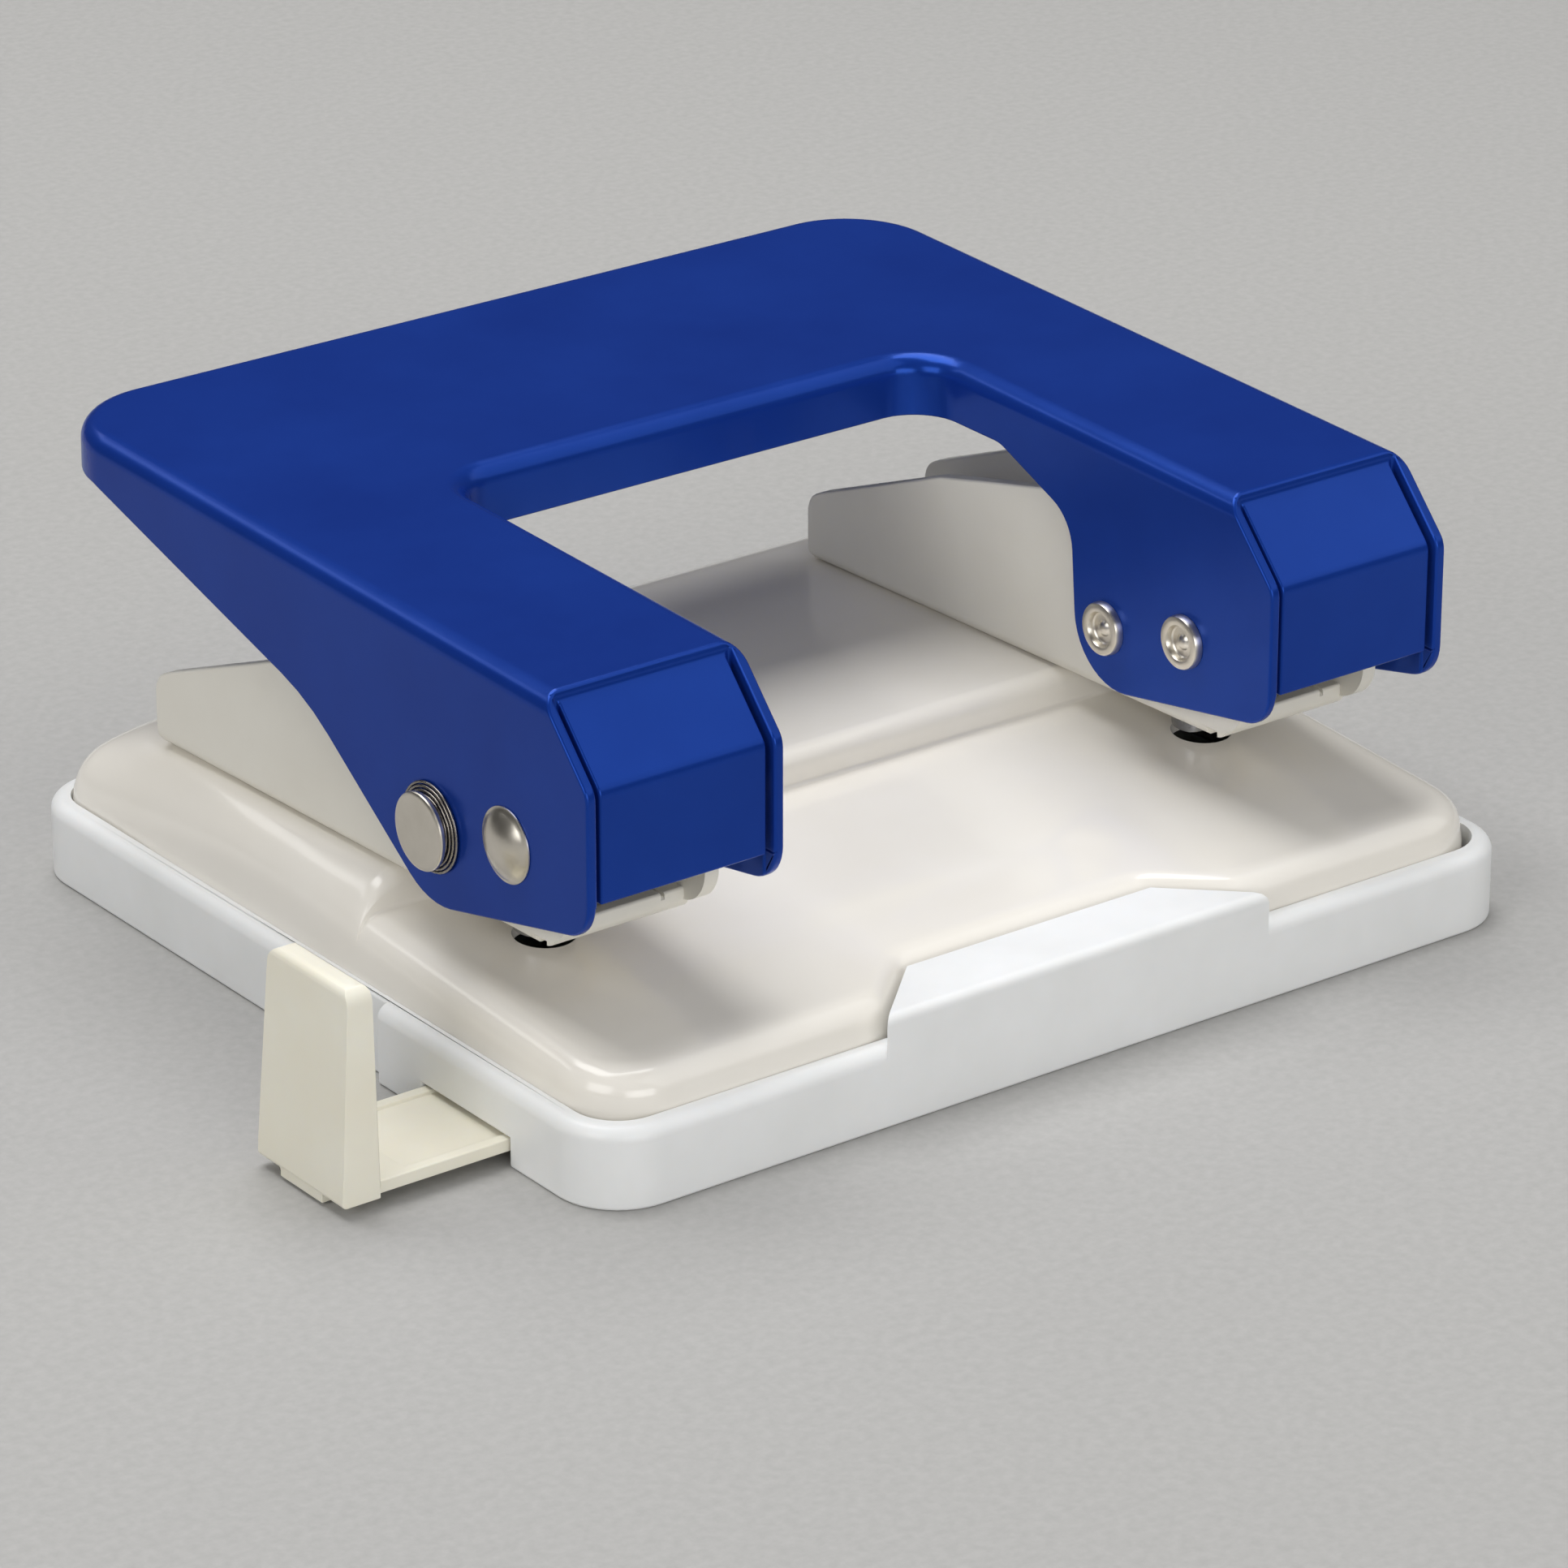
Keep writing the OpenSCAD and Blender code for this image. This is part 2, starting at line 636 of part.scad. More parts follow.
// Rivets along X: dome on the lever's outer side, hollow upset end on the inner side
module pin_rivet(s, d) {
  translate([s * x_plate, 0, 0]) rotate([0, s * 90, 0]) {
    dome(head_d, 1.5);
    translate([0, 0, -arm_w - 0.2]) cylinder(r = d / 2, h = arm_w + 0.5);
    translate([0, 0, -arm_w]) mirror([0, 0, 1]) rotate_extrude() difference() {
      polygon(outline([[0, 0, 0], [ring_d / 2, 0, 0], [ring_d / 2 - 0.1, 0.9, 0.35],
        [ring_d / 2 - 1.05, 0.9, 0.2], [ring_d / 2 - 1.3, 0.25, 0], [0.7, 0.2, 0], [0, 0.8, 0]]));
      translate([-9, -9]) square([9, 18]);
    }
  }
}
module pivot_rivet_left() {
  color([0.78, 0.78, 0.78]) at_pivot() pin_rivet(-1, pivot_d);
}
module pivot_rivet_right() {
  color([0.78, 0.78, 0.78]) at_pivot() pin_rivet(1, pivot_d);
}
module drive_rivet_right() {
  color([0.78, 0.78, 0.78]) at_drive() pin_rivet(1, drive_d);
}

// Lock button, the drive pin of the left arm
clip_t = 0.6;
clip_gap = 0.08;
module lock_button() {
  x_in = -arm_x + arm_half;
  color([0.78, 0.78, 0.78]) at_drive() {
    translate([-x_plate - button_gap, 0, 0]) rotate([0, -90, 0]) rotate_extrude()
      polygon(outline([[0, 0, 0], [button_d / 2, 0, 0.1], [button_d / 2, button_t, 0.3], [0, button_t, 0]]));
    difference() {
      pin_x(drive_d / 2, -x_plate - button_gap - 0.1, x_in + clip_gap + clip_t + 0.8);
      difference() {
        pin_x(drive_d, x_in + clip_gap - 0.03, x_in + clip_gap + clip_t + 0.03);
        pin_x(drive_d / 2 - 0.5, -tray_w, 0);
      }
    }
  }
}
module lock_clip() {
  x_in = -arm_x + arm_half;
  color([0.45, 0.45, 0.48]) at_drive()
    translate([x_in + clip_gap, 0, 0]) rotate([90, 0, 90]) linear_extrude(height = clip_t)
      difference() {
        circle(r = drive_d / 2 + 1.5);
        circle(r = drive_d / 2 - 0.48);
        translate([-drive_d / 2 + 0.6, -9]) square([drive_d - 1.2, 9]);
      }
}

// Springs, each one unbroken six-sided tube along a path of points
function tube_pts(path, wire, side) = let (n = len(path)) [for (i = [0:n - 1])
  let (t = unit(path[min(i + 1, n - 1)] - path[max(i - 1, 0)]),
       e = unit(cross(t, side[i])), f = cross(e, t))
  for (k = [0:5]) path[i] + wire / 2 * (cos(60 * k) * e + sin(60 * k) * f)];
function tube_faces(n) = concat(
  [for (k = [1:4]) [0, k, k + 1]],
  [for (i = [0:n - 2]) for (k = [0:5]) [6 * i + k, 6 * i + 6 + k, 6 * i + (k + 1) % 6]],
  [for (i = [0:n - 2]) for (k = [0:5])
    [6 * i + (k + 1) % 6, 6 * i + 6 + k, 6 * i + 6 + (k + 1) % 6]],
  [for (k = [1:4]) [6 * n - 6, 6 * n - 6 + k + 1, 6 * n - 6 + k]]);
module tube(path, wire, side) {
  polyhedron(points = tube_pts(path, wire, side), faces = tube_faces(len(path)), convexity = 6);
}
// Least gap of a tube to itself, between points that lie five rings or more apart
function self_gap(path, wire) = min([for (i = [0:len(path) - 6])
  min([for (j = [i + 5:len(path) - 1]) norm(path[i] - path[j])])]) - wire;

foot_dy = 5.5;
foot_y = y_pivot + foot_dy;
foot_z = seat_z(foot_y) + bracket_t + return_wire / 2 + 0.05;
leg_y = y_drive + 2.2;
leg_z = z_drive - drive_d / 2 - return_wire / 2 - 0.08;
// Angles at which a straight leg leaves the coil, seen from +X
function tangent_a(p, sgn) = atan2(p[1], p[0]) + sgn * acos(spring_r / norm(p));
foot_a = tangent_a([foot_y - y_pivot, foot_z - z_pivot], 1);
leg_a = tangent_a([leg_y - y_pivot, leg_z - z_pivot], -1);
coil_turn = 1440 + leg_a - foot_a + (leg_a < foot_a ? 360 : 0);
coil_n = ceil(coil_turn / 45);
function coil_at(k) = let (a = foot_a + coil_turn * k / coil_n)
  [-spring_x + 2 * spring_x * k / coil_n, y_pivot + spring_r * cos(a), z_pivot + spring_r * sin(a)];
return_path = concat(
  [for (k = [0, 0.5]) [-spring_x, foot_y, foot_z] * (1 - k) + coil_at(0) * k],
  [for (k = [0:coil_n]) coil_at(k)],
  [for (k = [0.5, 1]) [spring_x, leg_y, leg_z] * k + coil_at(coil_n) * (1 - k)]);
return_side = [for (p = return_path) [1, 0, 0]];
echo(str("return spring gap to itself ", self_gap(return_path, return_wire)));
module return_spring_left() {
  color([0.55, 0.56, 0.58]) translate([-arm_x, 0, 0]) tube(return_path, return_wire, return_side);
}
module return_spring_right() {
  color([0.55, 0.56, 0.58]) translate([arm_x, 0, 0]) tube(return_path, return_wire, return_side);
}

lock_n = 20;
lock_in = lock_wire / 2 + 0.04;
function lock_at(k) = let (a = 360 * 2.5 * k / lock_n, f = k / lock_n,
  r = drive_d / 2 + 2.15 - 1.65 * f)
  [-x_plate - lock_in - (button_gap - 2 * lock_in) * f, y_drive + r * cos(a), z_drive + r * sin(a)];
lock_path = [for (k = [0:lock_n]) lock_at(k)];
lock_side = [for (p = lock_path) [1, 0, 0]];
echo(str("lock spring gap to itself ", self_gap(lock_path, lock_wire)));
module lock_spring() {
  color([0.5, 0.5, 0.52]) tube(lock_path, lock_wire, lock_side);
}

chip_tray();
paper_gauge();
base_plate();
bracket_left();
bracket_right();
bracket_rivets_left();
bracket_rivets_right();
guide_bush_left();
guide_bush_right();
punch_left();
punch_right();
lever_handle();
pivot_rivet_left();
pivot_rivet_right();
drive_rivet_right();
lock_button();
lock_clip();
lock_spring();
return_spring_left();
return_spring_right();
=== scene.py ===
import math

import bmesh
import bpy
from mathutils import Matrix, Vector
from mathutils.bvhtree import BVHTree


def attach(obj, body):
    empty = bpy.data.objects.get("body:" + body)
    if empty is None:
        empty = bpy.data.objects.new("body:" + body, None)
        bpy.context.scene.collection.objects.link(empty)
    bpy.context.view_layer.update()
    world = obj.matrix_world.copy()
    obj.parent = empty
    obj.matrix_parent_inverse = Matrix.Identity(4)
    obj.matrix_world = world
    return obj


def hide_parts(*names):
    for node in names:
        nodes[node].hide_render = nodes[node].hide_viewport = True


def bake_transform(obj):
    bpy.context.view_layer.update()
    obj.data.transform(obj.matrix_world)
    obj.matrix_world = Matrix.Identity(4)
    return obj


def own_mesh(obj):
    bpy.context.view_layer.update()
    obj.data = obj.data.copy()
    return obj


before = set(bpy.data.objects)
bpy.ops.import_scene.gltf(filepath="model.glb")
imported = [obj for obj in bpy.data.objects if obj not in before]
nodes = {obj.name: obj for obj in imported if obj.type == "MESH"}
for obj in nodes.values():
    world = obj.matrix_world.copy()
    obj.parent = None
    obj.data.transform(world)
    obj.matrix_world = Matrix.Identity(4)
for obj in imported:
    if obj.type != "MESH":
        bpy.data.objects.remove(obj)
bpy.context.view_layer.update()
mm = 0.001
scene = bpy.context.scene
scene.view_settings.view_transform = "Standard"
print("frame loaded,", len(nodes), "nodes")

# camera and studio, lengths in millimetres
cameraSet = {"target": (-10.344, -16.67, 20.0), "azimuth": -36.822, "elevation": 23.829,
             "distance": 690.5, "lens": 165.6, "sensor": 36.0, "clipMetres": 20}
lampSet = [
    {"name": "overheadBox", "at": (20, 260, 820), "aim": (0, -20, 0), "size": (760, 600), "watts": 6.7},
    {"name": "rightBox", "at": (540, -460, 700), "aim": (0, -20, 10), "size": (1100, 900), "watts": 2.9},
    {"name": "rearStrip", "at": (-300, 700, 560), "aim": (-20, 10, 40), "size": (700, 100), "watts": 0.5},
    {"name": "leftBox", "at": (-860, -260, 460), "aim": (0, 0, 15), "size": (600, 500), "watts": 2.9},
    {"name": "frontBox", "at": (-200, -920, 270), "aim": (0, 0, 15), "size": (700, 400), "watts": 3.0},
]
worldSet = {"colour": (1.0, 0.99, 0.97), "strength": 0.05}
floorSet = {"half": 2500, "tones": ("#AEADAB", "#B6B5B3", 900), "gloss": (0.75, 0.9, 40),
            "skin": (0.2, 0.1, 1400), "sockets": {"Specular IOR Level": 0.2}}


def ink(code):
    parts = [int(code[i:i + 2], 16) / 255 for i in (1, 3, 5)]
    return [c / 12.92 if c <= 0.04045 else ((c + 0.055) / 1.055) ** 2.4 for c in parts] + [1.0]


def addCamera(s):
    az, el = math.radians(s["azimuth"]), math.radians(s["elevation"])
    back = Vector((math.sin(az) * math.cos(el), -math.cos(az) * math.cos(el), math.sin(el)))
    data = bpy.data.cameras.new("productCamera")
    data.lens = s["lens"]
    data.sensor_width = s["sensor"]
    data.clip_end = s["clipMetres"]
    cam = bpy.data.objects.new("productCamera", data)
    cam.location = (Vector(s["target"]) + back * s["distance"]) * mm
    cam.rotation_euler = back.to_track_quat("Z", "Y").to_euler()
    scene.collection.objects.link(cam)
    scene.camera = cam


def addLamp(s):
    data = bpy.data.lights.new(s["name"], "AREA")
    data.shape = "RECTANGLE"
    data.size, data.size_y = s["size"][0] * mm, s["size"][1] * mm
    data.energy = s["watts"]
    lamp = bpy.data.objects.new(s["name"], data)
    lamp.location = Vector(s["at"]) * mm
    toward = Vector(s["at"]) - Vector(s["aim"])
    lamp.rotation_euler = toward.to_track_quat("Z", "Y").to_euler()
    scene.collection.objects.link(lamp)


def addWorld(s):
    world = bpy.data.worlds.new("studio")
    world.use_nodes = True
    sky = world.node_tree.nodes["Background"]
    sky.inputs["Color"].default_value = (*s["colour"], 1)
    sky.inputs["Strength"].default_value = s["strength"]
    scene.world = world


addCamera(cameraSet)
for lampRow in lampSet:
    addLamp(lampRow)
addWorld(worldSet)
print("camera and lamps placed")

# finishes: tones vary the colour, gloss the roughness and skin the bump, each with its noise scale last
noiseSet = {"toneFrom": 0.3, "toneTo": 0.7, "toneDetail": 3.0, "glossDetail": 5.0, "skinDetail": 4.0,
            "speckDetail": 1.0, "speckEdge": 0.02, "roughness": 0.55}
mixSockets = {"first": 6, "second": 7, "result": 2}  # the colour sockets of the mix node


def noiseOut(tree, scale, detail):
    coords = tree.nodes.new("ShaderNodeTexCoord")
    node = tree.nodes.new("ShaderNodeTexNoise")
    node.inputs["Scale"].default_value = scale
    node.inputs["Detail"].default_value = detail
    node.inputs["Roughness"].default_value = noiseSet["roughness"]
    tree.links.new(coords.outputs["Object"], node.inputs["Vector"])
    return node.outputs["Fac"]


def makeFinish(name, tones, gloss, skin, sockets, specks=None):
    n = noiseSet
    mat = bpy.data.materials.new(name)
    mat.use_nodes = True
    tree = mat.node_tree
    shader = tree.nodes["Principled BSDF"]
    for key, value in sockets.items():
        shader.inputs[key].default_value = value
    ramp = tree.nodes.new("ShaderNodeValToRGB")
    ramp.color_ramp.elements[0].position = n["toneFrom"]
    ramp.color_ramp.elements[1].position = n["toneTo"]
    ramp.color_ramp.elements[0].color = ink(tones[0])
    ramp.color_ramp.elements[1].color = ink(tones[1])
    tree.links.new(noiseOut(tree, tones[2], n["toneDetail"]), ramp.inputs["Fac"])
    colour = ramp.outputs["Color"]
    if specks:
        dots = tree.nodes.new("ShaderNodeValToRGB")
        dots.color_ramp.elements[0].position = specks["cover"]
        dots.color_ramp.elements[1].position = specks["cover"] + n["speckEdge"]
        tree.links.new(noiseOut(tree, specks["scale"], n["speckDetail"]), dots.inputs["Fac"])
        blend = tree.nodes.new("ShaderNodeMix")
        blend.data_type = "RGBA"
        tree.links.new(dots.outputs["Color"], blend.inputs["Factor"])
        tree.links.new(colour, blend.inputs[mixSockets["first"]])
        blend.inputs[mixSockets["second"]].default_value = ink(specks["tone"])
        colour = blend.outputs[mixSockets["result"]]
    tree.links.new(colour, shader.inputs["Base Color"])
    sheen = tree.nodes.new("ShaderNodeMapRange")
    sheen.inputs["To Min"].default_value = gloss[0]
    sheen.inputs["To Max"].default_value = gloss[1]
    tree.links.new(noiseOut(tree, gloss[2], n["glossDetail"]), sheen.inputs["Value"])
    tree.links.new(sheen.outputs["Result"], shader.inputs["Roughness"])
    bump = tree.nodes.new("ShaderNodeBump")
    bump.inputs["Strength"].default_value = skin[0]
    bump.inputs["Distance"].default_value = skin[1] * mm
    tree.links.new(noiseOut(tree, skin[2], n["skinDetail"]), bump.inputs["Height"])
    tree.links.new(bump.outputs["Normal"], shader.inputs["Normal"])
    return mat


leverPaint = makeFinish("leverPaint", ("#15368F", "#193C98", 60), (0.2, 0.28, 900), (0.1, 0.02, 1500),
                        {"Metallic": 0.3, "Specular IOR Level": 0.4,
                         "Specular Tint": (0.12, 0.42, 1.0, 1.0),
                         "Coat Weight": 0.05, "Coat Roughness": 0.05})
basePaint = makeFinish("basePaint", ("#EFEAE0", "#F4F0E8", 40), (0.14, 0.24, 300), (0.08, 0.03, 420),
                       {"Coat Weight": 0.25, "Coat Roughness": 0.06})
bracketPaint = makeFinish("bracketPaint", ("#E7E3D8", "#ECE9DF", 70), (0.3, 0.42, 500), (0.2, 0.03, 1100),
                          {"Specular IOR Level": 0.5})
trayPlastic = makeFinish("trayPlastic", ("#EBECEB", "#F2F3F3", 90), (0.3, 0.45, 600), (0.16, 0.02, 700),
                         {"Subsurface Weight": 0.3, "Subsurface Radius": (0.004, 0.0045, 0.005)})
gaugePlastic = makeFinish("gaugePlastic", ("#EFEAD8", "#F3F0E1", 80), (0.36, 0.48, 500), (0.2, 0.02, 900),
                          {"Subsurface Weight": 0.15, "Subsurface Radius": (0.003, 0.0025, 0.0015)},
                          {"scale": 420, "cover": 0.8, "tone": "#B9AE93"})
rivetNickel = makeFinish("rivetNickel", ("#D6D0C4", "#E0DACF", 300), (0.26, 0.36, 1400), (0.15, 0.01, 2600),
                         {"Metallic": 1.0})
bushBrass = makeFinish("bushBrass", ("#B39A5A", "#C3A968", 300), (0.25, 0.4, 900), (0.1, 0.01, 2000),
                       {"Metallic": 1.0})
punchSteel = makeFinish("punchSteel", ("#9C9DA0", "#ABACAF", 260), (0.22, 0.36, 1200), (0.15, 0.01, 2200),
                        {"Metallic": 1.0})
springSteel = makeFinish("springSteel", ("#8E8983", "#A39D95", 500), (0.22, 0.34, 1500), (0.1, 0.01, 2500),
                         {"Metallic": 1.0})
print("finishes made")


def addFloor(s):
    half = s["half"] * mm
    mesh = bpy.data.meshes.new("studioFloor")
    mesh.from_pydata([(-half, -half, 0), (half, -half, 0), (half, half, 0), (-half, half, 0)], [],
                     [(0, 1, 2, 3)])
    floor = bpy.data.objects.new("studioFloor", mesh)
    mesh.materials.append(makeFinish("floorPaper", s["tones"], s["gloss"], s["skin"], s["sockets"]))
    scene.collection.objects.link(floor)


addFloor(floorSet)

# shared places in millimetres: the arms' centre lines, the lever's outer faces, both pins as (y, z),
# and the gap under the button's head
armX = 40.0
plateX = 51.0
pivotAt = (-28.93, 29.04)
driveAt = (-16.884, 26.4575)
buttonGap = 1.1


# meshes
def addPiece(name, bm, finish, body, replaced, smooth=38):
    mesh = bpy.data.meshes.new(name)
    bmesh.ops.recalc_face_normals(bm, faces=bm.faces)
    bm.to_mesh(mesh)
    bm.free()
    mesh.shade_smooth()
    mesh.set_sharp_from_angle(angle=math.radians(smooth))
    mesh.materials.append(finish)
    obj = bpy.data.objects.new(name, mesh)
    scene.collection.objects.link(obj)
    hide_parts(*replaced)
    if body:
        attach(obj, body)
    return obj


def settleNormals(obj, turn=38):
    mesh = obj.data
    around = [[] for _ in mesh.vertices]
    for p in mesh.polygons:
        for v in p.vertices:
            around[v].append(p)
    limit = math.cos(math.radians(turn))
    normals = []
    for p in mesh.polygons:
        for v in p.vertices:
            near = [q.normal * q.area for q in around[v] if q.normal.dot(p.normal) > limit]
            normals.append(sum(near, Vector()).normalized())
    mesh.normals_split_custom_set(normals)


# points closer than this are one, in millimetres, and faces within the angle are one, in degrees
weldSet = {"cad": 0.002, "dressed": 0.01, "broken": 0.001, "sliver": 0.001, "flatAngle": 0.3}


def weld(bm, gap):
    bmesh.ops.remove_doubles(bm, verts=bm.verts, dist=gap * mm)


def cadForm(node, dress=None, s=weldSet):
    bm = bmesh.new()
    bm.from_mesh(nodes[node].data)
    weld(bm, s["cad"])
    if dress:
        bm = dress(bm)
        weld(bm, s["dressed"])
    solid = BVHTree.FromBMesh(bm)
    bmesh.ops.dissolve_degenerate(bm, edges=bm.edges, dist=s["sliver"] * mm)
    bmesh.ops.dissolve_limit(bm, angle_limit=math.radians(s["flatAngle"]), verts=bm.verts, edges=bm.edges)
    return bm, solid


def breakEdges(bm, solid, width, turn=33, segments=3, pick=None, stray=0.5):
    sharp = math.radians(turn)
    edges = [e for e in bm.edges if len(e.link_faces) == 2 and e.calc_face_angle(0) > sharp]
    if pick:
        edges = [e for e in edges if pick(*[v.co / mm for v in e.verts])]
    bmesh.ops.bevel(bm, geom=edges, offset=width * mm, offset_type="OFFSET", segments=segments,
                    profile=0.5, affect="EDGES", clamp_overlap=False)
    for v in bm.verts:  # a corner that a broken edge threw out goes back to the solid
        spot, _, _, away = solid.find_nearest(v.co)
        if away > stray * width * mm:
            v.co = spot


def combine(form, tool, operation, sheet=0):
    pair = []
    for name, bm in (("workForm", form), ("toolForm", tool)):
        mesh = bpy.data.meshes.new(name)
        bm.to_mesh(mesh)
        bm.free()
        pair.append(bpy.data.objects.new(name, mesh))
        scene.collection.objects.link(pair[-1])
    if sheet:
        thick = pair[0].modifiers.new("sheet", "SOLIDIFY")
        thick.thickness, thick.offset = sheet * mm, -1
    step = pair[0].modifiers.new("combine", "BOOLEAN")
    step.operation, step.object, step.solver = operation, pair[1], "EXACT"
    seen = pair[0].evaluated_get(bpy.context.evaluated_depsgraph_get())
    made = bmesh.new()
    made.from_mesh(seen.to_mesh())
    for o in pair:
        bpy.data.objects.remove(o)
    return made


def quarter(steps):
    return [math.radians(90 * k / steps) for k in range(steps + 1)]


def prism(bm, outline, x0, x1):
    ends = [[bm.verts.new(Vector((x, y, z)) * mm) for y, z in outline] for x in (x0, x1)]
    bm.faces.new(ends[0])
    bm.faces.new(list(reversed(ends[1])))
    for k in range(len(outline)):
        n = (k + 1) % len(outline)
        bm.faces.new((ends[0][n], ends[0][k], ends[1][k], ends[1][n]))
    bmesh.ops.recalc_face_normals(bm, faces=bm.faces)


# front corners of the bracket walls, round below, and the nicks in the lip's upper edge
cheekSet = {"inner": 6.9, "outer": 8.5, "round": 4.0, "arcSteps": 12, "snap": 0.01,
            "front": -34.93, "low": 19.6, "inside": ((-33.0, 27.0), (-29.0, 23.0), (-29.0, 19.6)),
            "nickAt": 4.5, "nick": 0.42, "lipTop": (-31.69, 20.92), "clear": 1, "through": 3, "slant": 0.1}


def dressBracket(form, x0, s=cheekSet):
    r = s["round"]
    outline = [(s["front"], s["inside"][0][1])]
    for a in quarter(s["arcSteps"]):
        outline.append((s["front"] + r * (1 - math.cos(a)), s["low"] + r * (1 - math.sin(a))))
    outline += reversed(s["inside"])
    cheeks = bmesh.new()
    for side in (-1, 1):
        prism(cheeks, outline, x0 + side * s["inner"], x0 + side * s["outer"])
    planes = {v.co.x for v in form.verts}
    front = min(v.co.y for v in form.verts)
    for v in cheeks.verts:  # exactly on the walls' own planes
        v.co.x = min(planes, key=lambda x: abs(x - v.co.x))
        v.co.y = front if v.co.y < front + s["snap"] * mm else v.co.y
    form = combine(form, cheeks, "UNION")
    y, z, d = *s["lipTop"], s["nick"]
    before, behind, over = y - s["clear"], y + s["through"], z + s["clear"]
    outline = ((before, z + s["slant"]), (before, over), (behind, over), (behind, z - d), (y + d, z - d),
               (y - s["slant"], z - 2 * d))
    nicks = bmesh.new()
    for side in (-1, 1):
        middle = x0 + side * s["nickAt"]
        prism(nicks, outline, middle - d / 2, middle + d / 2)
    return combine(form, nicks, "DIFFERENCE")


# which edges are broken, told by the two ends of an edge in millimetres
bracketEdges = {"rearFrom": -28.4, "frontTo": -28.6, "reach": -30.05, "level": 0.3, "shortest": 1.2}
trayEdges = {"tabTop": 11.3, "tabFront": -49.3, "rim": (9, 9.5), "under": 0.05, "leftWall": -53.5}
gaugeEdges = {"below": 19}


def rearEdge(a, b, s=bracketEdges):
    return min(a.y, b.y) > s["rearFrom"]


def frontEdge(a, b, s=bracketEdges):
    level = abs(a.y - b.y) < s["level"] or abs(a.z - b.z) < s["level"]
    inFront = max(a.y, b.y) < s["frontTo"] and min(a.y, b.y) < s["reach"]
    return inFront and level and (a - b).length > s["shortest"]


def tabEdge(a, b, s=trayEdges):
    return min(a.z, b.z) > s["tabTop"] and max(a.y, b.y) < s["tabFront"]


def trayEdge(a, b, s=trayEdges):
    onRim = s["rim"][0] < min(a.z, b.z) < s["rim"][1]
    return onRim or max(a.z, b.z) < s["under"] or max(a.x, b.x) < s["leftWall"]


def gaugeEdge(a, b, s=gaugeEdges):
    return max(a.z, b.z) < s["below"]


# pieces that keep the solid's form, with their edges broken in passes of a width and a choice of edges
bracketPasses = [(0.3, rearEdge), (0.12, frontEdge)]
turnedPasses = [(0.12, None)]
softSet = [
    {"node": "bracket_left", "name": "bracketLeft", "body": "base", "finish": bracketPaint,
     "slot": "bracket_paint", "passes": bracketPasses, "dress": lambda form: dressBracket(form, -armX)},
    {"node": "bracket_right", "name": "bracketRight", "body": "base", "finish": bracketPaint,
     "slot": "bracket_paint", "passes": bracketPasses, "dress": lambda form: dressBracket(form, armX)},
    {"node": "chip_tray", "name": "chipTray", "body": "tray", "finish": trayPlastic,
     "slot": "tray_plastic", "passes": [(1.0, tabEdge), (0.35, trayEdge)]},
    {"node": "paper_gauge", "name": "paperGauge", "body": "gauge", "finish": gaugePlastic,
     "slot": "gauge_plastic", "passes": [(0.15, gaugeEdge)]},
    {"node": "punch_left", "name": "punchLeft", "body": "punch_l", "finish": punchSteel,
     "slot": "punch_steel", "passes": turnedPasses},
    {"node": "punch_right", "name": "punchRight", "body": "punch_r", "finish": punchSteel,
     "slot": "punch_steel", "passes": turnedPasses},
    {"node": "guide_bush_left", "name": "guideBushLeft", "body": "base", "finish": bushBrass,
     "slot": "bush_brass", "passes": turnedPasses},
    {"node": "guide_bush_right", "name": "guideBushRight", "body": "base", "finish": bushBrass,
     "slot": "bush_brass", "passes": turnedPasses},
    {"node": "lock_clip", "name": "lockClip", "body": "lock", "finish": springSteel,
     "slot": "spring_steel", "passes": [(0.08, None)]},
]
for row in softSet:
    form, solid = cadForm(row["node"], row.get("dress"))
    for width, where in row["passes"]:
        breakEdges(form, solid, width, pick=where)
    if "dress" in row:
        weld(form, weldSet["broken"])
    settleNormals(addPiece(row["name"], form, row["finish"], row["body"], [row["node"]]))
print("brackets, tray, gauge, punches, bushes and clip made")

# lever, the folded sheet with its rear corners drawn back a little; the edge between them stays straight,
# because it has no points of its own
leverSet = {"edge": 0.28, "draw": 0.8, "drawFrom": 14.0, "drawTo": 50.6, "halfWidth": plateX}


def smoothStep(low, high, value):
    t = min(max((value - low) / (high - low), 0), 1)
    return t * t * (3 - 2 * t)


def makeLever(s):
    bm, solid = cadForm("lever_handle")
    breakEdges(bm, solid, s["edge"])
    for v in bm.verts:
        side = 1 - min((v.co.x / mm / s["halfWidth"]) ** 2, 1)
        v.co.y += s["draw"] * mm * side * smoothStep(s["drawFrom"], s["drawTo"], v.co.y / mm)
    settleNormals(addPiece("leverShell", bm, leverPaint, "lever", ["lever_handle"]))


makeLever(leverSet)
print("lever made")

# base plate, one pressed sheet: rows follow the side profile, the border follows the round plan
baseSet = {"halfX": 53.2, "halfY": 47.25, "corner": 7.0, "rearCorner": 4.6, "crown": 10.0, "hem": 4.65,
           "sheet": 1.2, "flare": 0.16, "flareDrop": 0.3, "stop": -6.85, "root": 0.4, "crest": 2.0,
           "seat": 17.6, "seatFall": 1.9, "table": 14.0, "tableRise": 3.0,
           "frontRound": 2.8, "sideRound": 3.0, "seatRound": 5.2, "rearRound": 8.5,
           "crownBlend": 8, "frontBlend": (-47, -40), "stepBlend": (2, 18), "rearBlend": (14, 42),
           "notchWide": 21.24, "notchNarrow": 14.86, "notchDeep": 6.0, "notchEnd": -27.0, "notchSoft": 0.16,
           "holes": ((-armX, -18.85), (armX, -18.85)), "holeRadius": 3.1, "holeMiddle": 12, "holeDepth": 10,
           "holeSides": 64, "weld": 0.004, "sliver": 0.002}
